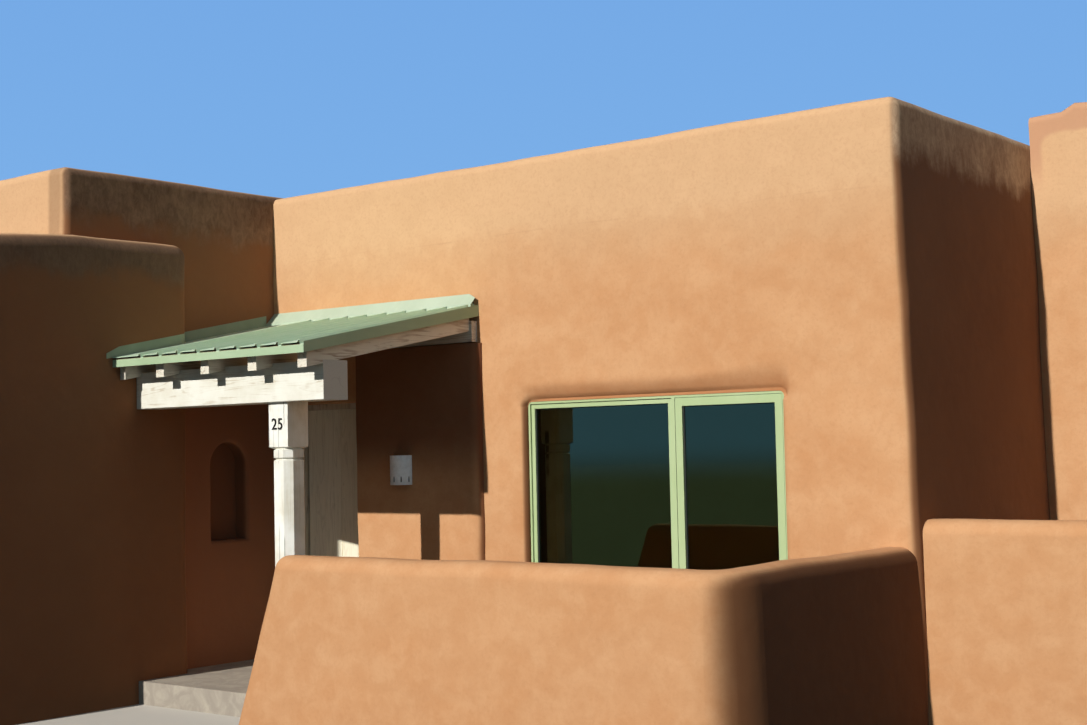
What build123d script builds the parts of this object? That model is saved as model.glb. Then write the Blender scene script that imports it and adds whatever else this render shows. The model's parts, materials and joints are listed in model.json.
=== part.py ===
from build123d import *
import os

os.makedirs("parts", exist_ok=True)

# Driving dimensions, in millimetres. +X is to the right of the front, +Y to the back and +Z
# up. The origin is on the ground, at the middle of the house.
left_wing_width = 3520
main_width = 6030
right_wing_width = 3650
store_projection = 1320
left_wing_projection = 2180
right_wing_setback = 2320
main_depth = 6000
wall = 400
main_height = 4220
left_wing_rise = 25
right_wing_rise = 240
right_wing_shoulder = 45
shoulder_width = 350
step_round = 100
store_drop = 538
store_front_drop = 75
store_parapet = 250
parapet = 420
bullnose = 75
corner_batter = 75
deck_thickness = 220
floor_thickness = 180

# The store is the low rounded block at the front left. Its right side runs on as a buttress.
store_width = 2440
buttress = 220
buttress_length = 1060
store_round = 110

# The doorway stands against the left wing. The leaf hangs at its left and stands ajar.
doorway_width = 1070
doorway_head = 2376
facing_thickness = 60
facing_reach = 2424
facing_height = 2789
facing_round = 96
leaf_width = 914
leaf_thickness = 45
leaf_setback = 297
leaf_ajar = 25
running_gap = 5
door_frame_bar = 75
door_stop = 12
door_stop_depth = 30
threshold_height = 20
plank_count = 6
plank_groove = 5
hinge_radius = 6
hinge_length = 99
hinge_leaf = 30
hinge_plate = 3
knuckle_gap = 0.5
handle_height = 960
handle_inset = 70
rose_radius = 26
rose_thickness = 8
lever_length = 115
lever_thickness = 16
lever_reach = 55

# The window has a fixed light on the left and a casement on the right.
window_place = 2836
window_width = 2275
window_height = 1520
window_head = 2306
window_setback = 60
reveal_corner = 40
reveal_round = 56
window_frame_face = 18
window_frame_back = 44
window_rebate = 45
window_frame_depth = 75
mullion_place = 1350
mullion_face = 29
light_gap = 3
fixed_bar = 33
fixed_setback = 12
casement_bar = 58
casement_setback = 2
glass_lap = 10
glass_thickness = 6

# The porch is a shed roof on rafters, carried by a ledger, one beam and one post.
verge_place = 2397
porch_depth = 1886
eave_bottom = 2650
trim_thickness = 3
eave_trim_height = 57
verge_rise = 354
verge_lip = 2
sheet_rise = 366
sheet_thickness = 4
pan_height = 16
rib_pitch = 224
rib_height = 16
rib_width = 28
rib_top = 12
rib_count = 9
first_rib = 50
valley_width = 30
flashing_top = 3188
flashing_apron = 95
flashing_clip = 105
side_flashing_height = 90
side_flashing_tip = 60
beam_bottom = 2323
beam_height = 286
beam_width = 240
beam_setback = 228
beam_overhang = 419
post_side = 203
post_place = 1833
post_chamfer = 50
block_height = 330
ring_height = 56
groove_height = 22
rafter_width = 94
rafter_height = 150
rafter_pitch = 530
rafter_count = 4
first_rafter = 93
wall_rafter_width = 66
tail_setback = 71
tail_bottom = 2552
timber_rise = 358
ledger_reach = 2375
ledger_thickness = 65
ledger_height = 165
ledger_bottom = 2800

# The low yard and garden walls are battered and round-topped.
low_wall_top = 260
low_wall_batter = 40
low_wall_round = 105
yard_wall_height = 1255
yard_projection = 2240
yard_end_place = 2440
yard_end_slope = 400
yard_end_radius = 90
yard_bend = 60
yard_overrun = 55
garden_wall_height = 1425
garden_wall_length = 3440
garden_setback = 100
porch_floor_reach = 1980

# The niche in the wing's side wall and the lamp beside the door.
niche_width = 387
niche_sill = 1220
niche_top = 2050
niche_depth = 160
niche_place = 712
niche_rim = 35
niche_border = 220
lamp_radius = 104
lamp_height = 240
lamp_bottom = 1672
lamp_place = 1596
lamp_shell = 8
lamp_slots = 5
lamp_slot_width = 7
lamp_slot_height = 26
lamp_slot_bottom = 26

# Heights and places that follow from the sizes above.
left_wing_height = main_height + left_wing_rise
right_wing_height = main_height + right_wing_rise
shoulder_height = right_wing_height - right_wing_shoulder
hump = 0.6 * right_wing_shoulder
deck_top = main_height - parapet
store_height = main_height - store_drop
store_front_height = store_height - store_front_drop
half_width = (left_wing_width + main_width + right_wing_width) / 2
half_depth = (store_projection + left_wing_projection + main_depth) / 2
x_left, x_right = -half_width, half_width
x_main = x_left + left_wing_width
x_corner = x_main + main_width
x_door = x_main + doorway_width
x_store = x_main + buttress
x_store_left = x_store - store_width
x_verge = x_main + verge_place
y_store, y_back = -half_depth, half_depth
y_wing = y_store + store_projection
y_main = y_wing + left_wing_projection
y_right_wing = y_main + right_wing_setback
y_buttress = y_wing + buttress_length
y_facing = y_main - facing_thickness
y_eave = y_main - porch_depth


def save(part, name):
    """Names a finished piece and writes it."""
    part.label = name
    export_step(part, f"parts/{name}.step")


def near(value, target):
    return abs(value - target) < 1


def plastered_wall(x0, x1, y0, y1, height, sides="", corners=(), base=0, radius=bullnose):
    """A plastered wall whose named top edges and upright corners are rolled over."""
    side_of = {
        "W": lambda c: near(c.X, x0),
        "E": lambda c: near(c.X, x1),
        "S": lambda c: near(c.Y, y0),
        "N": lambda c: near(c.Y, y1),
    }
    with BuildPart() as block:
        with BuildSketch(Plane.XY.offset(base)):
            with Locations(((x0 + x1) / 2, (y0 + y1) / 2)):
                Rectangle(x1 - x0, y1 - y0)
        extrude(amount=height - base)
        top = block.edges().filter_by(lambda e: near(e.center().Z, height))
        soft = [e for e in top if any(side_of[s](e.center()) for s in sides)]
        for upright in block.edges().filter_by(Axis.Z):
            if any(all(side_of[s](upright.center()) for s in corner) for corner in corners):
                soft.append(upright)
        if soft:
            fillet(soft, radius)
    return block.part


def deck(x0, x1, y0, y1, top=deck_top, thickness=deck_thickness):
    """A flat slab between the inner faces of the walls."""
    with BuildPart() as slab:
        with BuildSketch(Plane.XY.offset(top - thickness)):
            with Locations(((x0 + x1) / 2, (y0 + y1) / 2)):
                Rectangle(x1 - x0, y1 - y0)
        extrude(amount=thickness)
    return slab.part


# Main block. The front wall is one mass from the doorway to the right corner, which leans
# in a little as it rises. The window's reveal is rolled over all round.
window_x0 = x_main + window_place
window_x1 = window_x0 + window_width
window_sill = window_head - window_height
window_centre = ((window_x0 + window_x1) / 2, (window_sill + window_head) / 2)
y_window = y_main + window_setback

with BuildPart() as front_wall:
    with BuildSketch(Plane.XZ.offset(-y_main)):
        with BuildLine():
            Polyline(
                (x_door, 0),
                (x_corner + corner_batter, 0),
                (x_corner, main_height),
                (x_door, main_height),
                close=True,
            )
        make_face()
    extrude(amount=-wall)
    top = front_wall.edges().filter_by(lambda e: near(e.center().Z, main_height))
    soft = [e for e in top if not near(e.center().X, x_door)]
    corner = front_wall.edges().filter_by(
        lambda e: near(e.center().Y, y_main) and near(e.center().X, x_corner + corner_batter / 2)
    )
    fillet(soft + corner, bullnose)
    with BuildSketch(Plane.XZ.offset(-y_main)):
        with Locations(window_centre):
            RectangleRounded(window_width, window_height, reveal_corner)
    extrude(amount=-window_setback, mode=Mode.SUBTRACT)
    rim = front_wall.edges().filter_by(
        lambda e: near(e.center().Y, y_main)
        and window_x0 - 1 < e.center().X < window_x1 + 1
        and window_sill - 1 < e.center().Z < window_head + 1
    )
    fillet(rim, reveal_round)
    with BuildSketch(Plane.XZ.offset(-y_window)):
        with Locations(window_centre):
            Rectangle(window_width, window_height)
    extrude(amount=window_setback - wall, mode=Mode.SUBTRACT)
save(front_wall.part, "front_wall")

door_header = plastered_wall(
    x_main, x_door, y_main, y_main + wall, main_height, sides="SN", base=doorway_head
)
save(door_header, "door_header")

with BuildPart() as side_wall:
    with BuildSketch(Plane.XZ.offset(-(y_main + wall))):
        with BuildLine():
            Polyline(
                (x_corner - wall, 0),
                (x_corner + corner_batter, 0),
                (x_corner, main_height),
                (x_corner - wall, main_height),
                close=True,
            )
        make_face()
    extrude(amount=-right_wing_setback)
    top = side_wall.edges().filter_by(lambda e: near(e.center().Z, main_height))
    fillet([e for e in top if e.length > right_wing_setback / 2], bullnose)
save(side_wall.part, "side_wall")

# The plaster facing under the porch stands proud of the front wall, and its right end is
# rolled back to it.
x_facing_end = x_main + facing_reach
with BuildPart() as entry_facing:
    with BuildSketch():
        with BuildLine():
            front = Line((x_door, y_facing), (x_facing_end - facing_round, y_facing))
            roll = EllipticalCenterArc(
                (x_facing_end - facing_round, y_main),
                facing_round,
                facing_thickness,
                start_angle=270,
                arc_size=90,
            )
            back = Line(roll @ 1, (x_door, y_main))
            Line(back @ 1, front @ 0)
        make_face()
    extrude(amount=facing_height)
save(entry_facing.part, "entry_facing")

# Left wing. The niche is arched, and its rim is rolled over. The wall round it is a block of
# its own, set in the side wall.
left_front_wall = plastered_wall(
    x_left, x_main, y_wing, y_wing + wall, left_wing_height, "SNEW", ("SE", "SW")
)
save(left_front_wall, "left_front_wall")

niche_y = y_main - niche_place
niche_spring = niche_top - niche_width / 2
niche_centre = (niche_y + niche_width / 2, (niche_sill + niche_top) / 2)
niche_block_size = (
    niche_width + 2 * niche_border,
    niche_top - niche_sill + 2 * niche_border,
)
with BuildPart() as left_side_wall:
    add(
        plastered_wall(
            x_main - wall, x_main, y_wing + wall, y_main + wall, left_wing_height, "EW"
        )
    )
    with BuildSketch(Plane.YZ.offset(x_main)):
        with Locations(niche_centre):
            Rectangle(*niche_block_size)
    extrude(amount=-wall, mode=Mode.SUBTRACT)
save(left_side_wall.part, "left_side_wall")

with BuildPart() as niche_surround:
    with BuildSketch(Plane.YZ.offset(x_main)):
        with Locations(niche_centre):
            Rectangle(*niche_block_size)
    extrude(amount=-wall)
    with BuildSketch(Plane.YZ.offset(x_main)):
        with BuildLine():
            foot = Line(
                (niche_y + niche_width, niche_sill),
                (niche_y, niche_sill),
            )
            left_side = Line(foot @ 1, (niche_y, niche_spring))
            crown = ThreePointArc(
                left_side @ 1,
                (niche_y + niche_width / 2, niche_top),
                (niche_y + niche_width, niche_spring),
            )
            Line(crown @ 1, foot @ 0)
        make_face()
    extrude(amount=-niche_depth, mode=Mode.SUBTRACT)
    rim = niche_surround.edges().filter_by(
        lambda e: near(e.center().X, x_main)
        and niche_y - 1 < e.center().Y < niche_y + niche_width + 1
        and niche_sill - 1 < e.center().Z < niche_top + 1
    )
    fillet(rim, niche_rim)
save(niche_surround.part, "niche_surround")

left_outer_wall = plastered_wall(
    x_left, x_left + wall, y_wing + wall, y_back - wall, left_wing_height, "EW"
)
save(left_outer_wall, "left_outer_wall")

back_wall = plastered_wall(
    x_left, x_corner, y_back - wall, y_back, left_wing_height, "SNW", ("NW",)
)
save(back_wall, "back_wall")

# Right wing. Its parapet climbs from a low shoulder beside the main block over a soft hump.
with BuildPart() as right_front_wall:
    with BuildSketch(Plane.XZ.offset(-y_right_wing)) as wing_face:
        with BuildLine():
            Polyline(
                (x_corner + corner_batter, 0),
                (x_right, 0),
                (x_right, right_wing_height),
                (x_corner + 2 * shoulder_width, right_wing_height),
                (x_corner + shoulder_width, right_wing_height + hump),
                (x_corner + 0.7 * shoulder_width, shoulder_height + hump / 2),
                (x_corner, shoulder_height),
                close=True,
            )
        make_face()
        bends = [
            v for v in wing_face.vertices()
            if shoulder_width / 2 < v.X - x_corner < 3 * shoulder_width and v.Z > shoulder_height
        ]
        fillet(bends, step_round)
    extrude(amount=-wall)
    crest = right_front_wall.edges().filter_by(
        lambda e: e.center().Z > shoulder_height - 1 and near(e.center().Y, y_right_wing)
    )
    fillet(crest, bullnose * 0.8)
save(right_front_wall.part, "right_front_wall")

right_outer_wall = plastered_wall(
    x_right - wall, x_right, y_right_wing + wall, y_back - wall, right_wing_height, "EW"
)
save(right_outer_wall, "right_outer_wall")

right_back_wall = plastered_wall(
    x_corner, x_right, y_back - wall, y_back, right_wing_height, "SNEW", ("NE",)
)
save(right_back_wall, "right_back_wall")

wing_upstand = plastered_wall(
    x_corner,
    x_corner + wall,
    y_right_wing + wall,
    y_back - wall,
    right_wing_height,
    "EW",
    base=deck_top,
)
save(wing_upstand, "wing_upstand")

# The store: the low rounded block, whose top swells towards the wing, with its buttress.
store_front_wall = plastered_wall(
    x_store_left,
    x_store,
    y_store,
    y_store + wall,
    store_front_height,
    "SNEW",
    ("SE", "SW"),
    radius=store_round,
)
save(store_front_wall, "store_front_wall")


def swelling_wall(x0, x1):
    """A side wall of the store, which climbs from the front parapet to the wing."""
    y0, y1 = y_store + wall, y_wing
    with BuildPart() as climbing:
        with BuildSketch(Plane.YZ.offset(x0)):
            with BuildLine():
                Polyline(
                    (y0, 0), (y1, 0), (y1, store_height), (y0, store_front_height), close=True
                )
            make_face()
        extrude(amount=x1 - x0)
        top = climbing.faces().sort_by(Axis.Z)[-1]
        fillet([e for e in top.edges() if e.length > (y1 - y0) * 0.9], store_round)
    return climbing.part


save(swelling_wall(x_store - wall, x_store), "store_side_wall")
save(swelling_wall(x_store_left, x_store_left + wall), "store_left_wall")

store_buttress = plastered_wall(
    x_main, x_store, y_wing, y_buttress, store_height, "NE", ("NE",), radius=store_round
)
save(store_buttress, "store_buttress")

# Roof decks.
y_inside = y_main + wall
left_roof = deck(x_left + wall, x_main - wall, y_wing + wall, y_back - wall)
save(left_roof, "left_roof")
main_roof = deck(x_main - wall, x_corner - wall, y_inside, y_back - wall)
save(main_roof, "main_roof")
right_roof = deck(x_corner - wall, x_right - wall, y_right_wing + wall, y_back - wall)
save(right_roof, "right_roof")
store_roof = deck(
    x_store_left + wall, x_store - wall, y_store + wall, y_wing, store_front_height - store_parapet
)
save(store_roof, "store_roof")

# Floors, indoors and under the porch.
floor_bays = {
    "left_floor": (x_left + wall, x_main - wall, y_wing + wall),
    "main_floor": (x_main - wall, x_corner - wall, y_inside),
    "right_floor": (x_corner - wall, x_right - wall, y_right_wing + wall),
}
for name, (x0, x1, y0) in floor_bays.items():
    save(deck(x0, x1, y0, y_back - wall, floor_thickness, floor_thickness), name)

with BuildSketch() as block_plan:
    with Locations((x_main, y_store)):
        Rectangle(buttress, y_buttress - y_store, align=(Align.MIN, Align.MIN))
    fillet(block_plan.vertices().group_by(Axis.Y)[-1].sort_by(Axis.X)[-1], store_round)

y_beam = y_eave + beam_setback + beam_width / 2
x_post = x_main + post_place
y_post = y_beam + (beam_width - post_side) / 2
with BuildPart() as porch_floor:
    y_floor = y_beam - beam_width / 2
    add(deck(x_main, x_main + porch_floor_reach, y_floor, y_facing, floor_thickness, floor_thickness))
    add(deck(x_main, x_door, y_facing, y_inside, floor_thickness, floor_thickness))
    extrude(block_plan.sketch, amount=floor_thickness, mode=Mode.SUBTRACT)
save(porch_floor.part, "porch_floor")

# Porch post: an eight-sided shaft and a carved ring under a square block, with the back of
# the block in line with the back of the beam.
block_bottom = beam_bottom - block_height
ring_top = block_bottom - groove_height
ring_bottom = ring_top - ring_height
shaft_top = ring_bottom - groove_height


def post_section(z, corner):
    """The post's square at a height, with its corners cut."""
    with BuildSketch(Plane((x_post, y_post, z))) as section:
        square = Rectangle(post_side, post_side)
        if corner:
            chamfer(square.vertices(), corner)
    return section.sketch


with BuildPart() as porch_post:
    extrude(post_section(floor_thickness, post_chamfer), amount=shaft_top - floor_thickness)
    extrude(post_section(shaft_top, post_chamfer), amount=groove_height / 2, taper=60)
    extrude(post_section(ring_bottom, post_chamfer), amount=-groove_height / 2, taper=60)
    extrude(post_section(ring_bottom, post_chamfer), amount=ring_height)
    extrude(post_section(ring_top, post_chamfer), amount=groove_height / 2, taper=60)
    extrude(post_section(block_bottom, 0), amount=-groove_height / 2, taper=60)
    extrude(post_section(block_bottom, 0), amount=block_height)
save(porch_post.part, "porch_post")

x_beam_end = x_post + post_side / 2 + beam_overhang
with BuildPart() as porch_beam:
    with BuildSketch(Plane.XY.offset(beam_bottom)):
        with Locations(((x_store + x_beam_end) / 2, y_beam)):
            Rectangle(x_beam_end - x_store, beam_width)
    extrude(amount=beam_height)
    chamfer(porch_beam.edges().filter_by(Axis.X), 4)
save(porch_beam.part, "porch_beam")

y_ledger = y_main - ledger_thickness
with BuildPart() as porch_ledger:
    with BuildSketch(Plane.XY.offset(ledger_bottom)):
        with Locations((x_main, y_main)):
            Rectangle(ledger_reach, ledger_thickness, align=(Align.MIN, Align.MAX))
    extrude(amount=ledger_height)
save(porch_ledger.part, "porch_ledger")

# The rafters run from a plumb-cut tail to the ledger and are notched over the beam.
y_tail = y_eave + tail_setback
beam_top = beam_bottom + beam_height
timber_slope = timber_rise / porch_depth
sheet_slope = sheet_rise / porch_depth
rafter_places = [x_verge - first_rafter - i * rafter_pitch for i in range(rafter_count)]


def timber_line(y):
    """Height of the underside of the rafters."""
    return tail_bottom + (y - y_tail) * timber_slope


rafters = [(x - rafter_width / 2, rafter_width) for x in rafter_places]
rafters.append((x_store, wall_rafter_width))
with BuildPart() as porch_rafters:
    for x_rafter, width in rafters:
        with BuildSketch(Plane.YZ.offset(x_rafter)):
            with BuildLine():
                Polyline(
                    (y_tail, timber_line(y_tail)),
                    (y_ledger, timber_line(y_ledger)),
                    (y_ledger, timber_line(y_ledger) + rafter_height),
                    (y_tail, timber_line(y_tail) + rafter_height),
                    close=True,
                )
            make_face()
            with Locations((y_beam, beam_top)):
                Rectangle(
                    beam_width,
                    rafter_height,
                    align=(Align.CENTER, Align.MAX),
                    mode=Mode.SUBTRACT,
                )
        extrude(amount=width)
save(porch_rafters.part, "porch_rafters")

# Roof boards fill the wedge between the rafters and the metal sheet.
sheet_bottom = eave_bottom + eave_trim_height
y_boards = y_eave + trim_thickness
x_boards = x_verge - trim_thickness


def sheet_line(y):
    """Height of the underside of the metal sheet."""
    return sheet_bottom + (y - y_eave) * sheet_slope


with BuildPart() as roof_boards:
    with BuildSketch(Plane.YZ.offset(x_main)):
        with BuildLine():
            Polyline(
                (y_boards, timber_line(y_boards) + rafter_height),
                (y_main, timber_line(y_main) + rafter_height),
                (y_main, sheet_line(y_main)),
                (y_boards, sheet_line(y_boards)),
                close=True,
            )
        make_face()
    extrude(amount=x_boards - x_main)
    extrude(block_plan.sketch, amount=store_height, mode=Mode.SUBTRACT)
save(roof_boards.part, "roof_boards")

# The metal sheet has broad raised pans, each closed by a small rib and a narrow valley that
# rests on the boards. It follows the slope from the eave to the wall.
sheet_run = porch_depth - trim_thickness
slope_length = (sheet_run**2 + (sheet_run * sheet_slope) ** 2) ** 0.5
rib_places = [x_verge - first_rib - i * rib_pitch for i in reversed(range(rib_count))]
fold = [(x_main, pan_height)]
for x_rib in rib_places:
    fold += [
        (x_rib - rib_width / 2, pan_height),
        (x_rib - rib_top / 2, pan_height + rib_height),
        (x_rib + rib_top / 2, pan_height + rib_height),
        (x_rib + rib_width / 2, 0),
        (x_rib + rib_width / 2 + valley_width, 0),
    ]
    if x_rib < rib_places[-1]:
        fold.append((x_rib + rib_width / 2 + valley_width + sheet_thickness, pan_height))
fold[-1] = (x_boards, 0)
underside = [(x, sheet_bottom + z) for x, z in fold]
upper_side = [(x, z + sheet_thickness) for x, z in reversed(underside)]
with BuildPart() as metal_roof:
    with BuildSketch(Plane.XZ.offset(-y_eave)):
        with BuildLine():
            Polyline(*underside, *upper_side, close=True)
        make_face()
    extrude(amount=slope_length, dir=(0, 1, sheet_slope))
    extrude(block_plan.sketch, amount=store_height, mode=Mode.SUBTRACT)
save(metal_roof.part, "metal_roof")

with BuildPart() as eave_trim:
    with BuildSketch(Plane.XY.offset(eave_bottom)):
        with Locations((x_boards, y_eave)):
            Rectangle(x_boards - x_store, trim_thickness, align=(Align.MAX, Align.MIN))
    extrude(amount=eave_trim_height)
save(eave_trim.part, "eave_trim")


def pan_line(y):
    """Height of the top of the sheet's raised pans."""
    return sheet_line(y) + pan_height + sheet_thickness


with BuildPart() as verge_trim:
    with BuildSketch(Plane.YZ.offset(x_boards)):
        with BuildLine():
            Polyline(
                (y_eave, eave_bottom),
                (y_main, eave_bottom + verge_rise),
                (y_main, pan_line(y_main) + verge_lip),
                (y_eave, pan_line(y_eave) + verge_lip),
                close=True,
            )
        make_face()
    extrude(amount=trim_thickness)
save(verge_trim.part, "verge_trim")

# The wall flashing leans from the plaster down on to the pans and is notched over each rib.
y_apron = y_main - flashing_apron
apron_edge = pan_line(y_apron) + rib_height
with BuildPart() as wall_flashing:
    with BuildSketch(Plane.YZ.offset(x_main + trim_thickness)):
        with BuildLine():
            Polyline(
                (y_main, flashing_top),
                (y_apron, apron_edge),
                (y_apron, pan_line(y_apron)),
                (y_apron + trim_thickness, pan_line(y_apron + trim_thickness)),
                (y_apron + trim_thickness, apron_edge - trim_thickness),
                (y_main, flashing_top - 2 * trim_thickness),
                close=True,
            )
        make_face()
    extrude(amount=x_boards - x_main - trim_thickness)
    with BuildSketch(Plane.XZ.offset(-y_main)):
        with BuildLine():
            Polyline(
                (x_verge - flashing_clip, flashing_top + trim_thickness),
                (x_verge + trim_thickness, flashing_top + trim_thickness),
                (x_verge + trim_thickness, flashing_top - flashing_clip / 2.5),
                close=True,
            )
        make_face()
    extrude(amount=flashing_apron, mode=Mode.SUBTRACT)
    with BuildSketch(Plane.XZ.offset(-y_apron)):
        for x_rib in rib_places:
            with Locations((x_rib, pan_line(y_apron))):
                Rectangle(1.5 * rib_width, 2.2 * rib_height)
    extrude(amount=-3 * trim_thickness, mode=Mode.SUBTRACT)
save(wall_flashing.part, "wall_flashing")

# The side flashing stands on the sheet and turns round the end of the store.
with BuildPart() as side_flashing:
    with BuildSketch(Plane.YZ.offset(x_main)):
        with BuildLine():
            Polyline(
                (y_eave - side_flashing_tip, pan_line(y_eave - side_flashing_tip)),
                (y_main, pan_line(y_main)),
                (y_main, pan_line(y_main) + side_flashing_height),
                (y_eave + side_flashing_tip, pan_line(y_eave) + side_flashing_height),
                (y_eave - side_flashing_tip, pan_line(y_eave) + side_flashing_height / 3),
                close=True,
            )
        make_face()
    extrude(amount=buttress + trim_thickness)
    with BuildSketch() as flashing_plan:
        offset(block_plan.sketch, amount=trim_thickness, kind=Kind.INTERSECTION)
        with Locations((x_main, y_buttress)):
            Rectangle(trim_thickness, y_apron - y_buttress, align=(Align.MIN, Align.MIN))
        add(block_plan.sketch, mode=Mode.SUBTRACT)
    extrude(flashing_plan.sketch, amount=main_height, mode=Mode.INTERSECT)
save(side_flashing.part, "side_flashing")

# Door frame with its stop, on a threshold.
frame_bottom = floor_thickness + threshold_height
x_pin = x_main + door_frame_bar
x_latch = x_pin + leaf_width + 2 * running_gap
leaf_bottom = frame_bottom + running_gap
leaf_top = doorway_head - door_frame_bar / 2 - running_gap
frame_head = leaf_top + running_gap
y_leaf = y_main + leaf_setback
y_leaf_back = y_leaf + leaf_thickness
y_pin = y_leaf_back + running_gap
y_stop = y_leaf - running_gap
y_frame = y_stop - door_stop_depth
y_frame_back = y_pin - hinge_radius


def door_surround(left, right, head, y0, y1):
    """A three-sided surround that fills the doorway down to the given inner edges."""
    with BuildPart() as surround:
        with BuildSketch(Plane.XZ.offset(-y0)):
            with Locations(((x_main + x_door) / 2, frame_bottom)):
                Rectangle(
                    doorway_width, doorway_head - frame_bottom, align=(Align.CENTER, Align.MIN)
                )
            with Locations(((left + right) / 2, frame_bottom)):
                Rectangle(
                    right - left,
                    head - frame_bottom,
                    align=(Align.CENTER, Align.MIN),
                    mode=Mode.SUBTRACT,
                )
        extrude(amount=y0 - y1)
    return surround.part


with BuildPart() as door_frame:
    add(door_surround(x_pin, x_latch, frame_head, y_frame, y_frame_back))
    add(
        door_surround(
            x_pin + door_stop, x_latch - door_stop, frame_head - door_stop, y_frame, y_stop
        )
    )
save(door_frame.part, "door_frame")

with BuildPart() as door_threshold:
    with BuildSketch(Plane.XY.offset(floor_thickness)):
        with Locations((x_main, y_frame)):
            Rectangle(doorway_width, y_frame_back - y_frame, align=(Align.MIN, Align.MIN))
    extrude(amount=threshold_height)
save(door_threshold.part, "door_threshold")

# The leaf is drawn shut and then turned on its pin to stand ajar.
pin = Axis((x_pin, y_pin, 0), (0, 0, 1))
leaf_height = leaf_top - leaf_bottom
x_leaf = x_pin + running_gap
plank = leaf_width / plank_count


def ajar(part):
    return part.rotate(pin, leaf_ajar)


with BuildPart() as door_leaf:
    with BuildSketch(Plane.XY.offset(leaf_bottom)):
        with Locations((x_leaf, y_leaf)):
            Rectangle(leaf_width, leaf_thickness, align=(Align.MIN, Align.MIN))
        for i in range(1, plank_count):
            for face, depth in ((y_leaf, plank_groove), (y_leaf_back, -plank_groove)):
                x_groove = x_leaf + i * plank
                with BuildLine():
                    Polyline(
                        (x_groove - plank_groove, face),
                        (x_groove, face + depth),
                        (x_groove + plank_groove, face),
                        close=True,
                    )
                make_face(mode=Mode.SUBTRACT)
    extrude(amount=leaf_height)
save(ajar(door_leaf.part), "door_leaf")

# Three hinges. The outer knuckles belong to the frame, the middle ones to the leaf.
hinge_places = [leaf_bottom + leaf_height * share for share in (0.09, 0.5, 0.91)]
knuckle = hinge_length / 3


def knuckles(places, side, face):
    """Hinge knuckles on the pin, each with a plate to the left or right of it."""
    with BuildPart() as hinges:
        for place in places:
            with BuildSketch(Plane.XY.offset(place - knuckle / 2 + knuckle_gap / 2)):
                with Locations((x_pin, y_pin)):
                    Circle(hinge_radius)
                with Locations((x_pin, face)):
                    Rectangle(
                        hinge_leaf,
                        hinge_plate,
                        align=(Align.MIN if side > 0 else Align.MAX, Align.MIN),
                    )
            extrude(amount=knuckle - knuckle_gap)
    return hinges.part


outer_places = [place + step for place in hinge_places for step in (-knuckle, knuckle)]
save(knuckles(outer_places, -1, y_frame_back), "frame_hinges")
save(ajar(knuckles(hinge_places, 1, y_leaf_back)), "leaf_hinges")

# A lever handle on either face of the leaf.
x_handle = x_leaf + leaf_width - handle_inset
z_handle = floor_thickness + handle_height
with BuildPart() as door_handle:
    for face, outward in ((y_leaf, -1), (y_leaf_back, 1)):
        with BuildSketch(Plane((x_handle, face, z_handle), x_dir=(1, 0, 0), z_dir=(0, outward, 0))):
            Circle(rose_radius)
        extrude(amount=rose_thickness)
        with BuildSketch(Plane((x_handle, face, z_handle), x_dir=(1, 0, 0), z_dir=(0, outward, 0))):
            Circle(lever_thickness / 2)
        extrude(amount=lever_reach)
        with BuildSketch(
            Plane((x_handle, face + outward * lever_reach, z_handle), z_dir=(-1, 0, 0))
        ):
            Circle(lever_thickness / 2)
        extrude(amount=lever_length)
save(ajar(door_handle.part), "door_handle")

# The window: an outer frame with one mullion, and two lights in its rebates.
x_mullion = window_x0 + mullion_place
window_z = (window_sill + window_head) / 2
unit_spans = (
    (window_x0 + window_frame_face, x_mullion - mullion_face / 2),
    (x_mullion + mullion_face / 2, window_x1 - window_frame_face),
)
shoulder_step = window_frame_back - window_frame_face
unit_height = window_height - 2 * window_frame_face

with BuildPart() as window_frame:
    with BuildSketch(Plane.XZ.offset(-y_window)):
        with Locations(((window_x0 + window_x1) / 2, window_z)):
            Rectangle(window_width, window_height)
    extrude(amount=-window_frame_depth)
    for x0, x1 in unit_spans:
        with BuildSketch(Plane.XZ.offset(-y_window)):
            with Locations(((x0 + x1) / 2, window_z)):
                Rectangle(x1 - x0, unit_height)
        extrude(amount=-window_rebate, mode=Mode.SUBTRACT)
        with BuildSketch(Plane.XZ.offset(-y_window)):
            with Locations(((x0 + x1) / 2, window_z)):
                Rectangle(x1 - x0 - 2 * shoulder_step, unit_height - 2 * shoulder_step)
        extrude(amount=-window_frame_depth, mode=Mode.SUBTRACT)
save(window_frame.part, "window_frame")


def light(span, bar, setback):
    """A glazed light in its rebate: the bars, and the pane that fills their own rebate."""
    centre = ((span[0] + span[1]) / 2, window_z)
    width = span[1] - span[0] - 2 * light_gap
    height = unit_height - 2 * light_gap
    depth = window_rebate - setback
    face = Plane.XZ.offset(-(y_window + setback))
    glass_face = Plane.XZ.offset(-(y_window + setback + depth / 2))
    pane_width = width - 2 * bar + 2 * glass_lap
    pane_height = height - 2 * bar + 2 * glass_lap
    with BuildPart() as bars:
        with BuildSketch(face):
            with Locations(centre):
                Rectangle(width, height)
                Rectangle(width - 2 * bar, height - 2 * bar, mode=Mode.SUBTRACT)
        extrude(amount=-depth)
        with BuildSketch(glass_face):
            with Locations(centre):
                Rectangle(pane_width, pane_height)
        extrude(amount=-depth / 2, mode=Mode.SUBTRACT)
    with BuildPart() as pane:
        with BuildSketch(glass_face):
            with Locations(centre):
                Rectangle(pane_width, pane_height)
        extrude(amount=-glass_thickness)
    return bars.part, pane.part


fixed_light, fixed_pane = light(unit_spans[0], fixed_bar, fixed_setback)
casement, casement_pane = light(unit_spans[1], casement_bar, casement_setback)
save(fixed_light, "fixed_light")
save(casement, "casement")
with BuildPart() as window_glass:
    add(fixed_pane)
    add(casement_pane)
save(window_glass.part, "window_glass")

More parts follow.
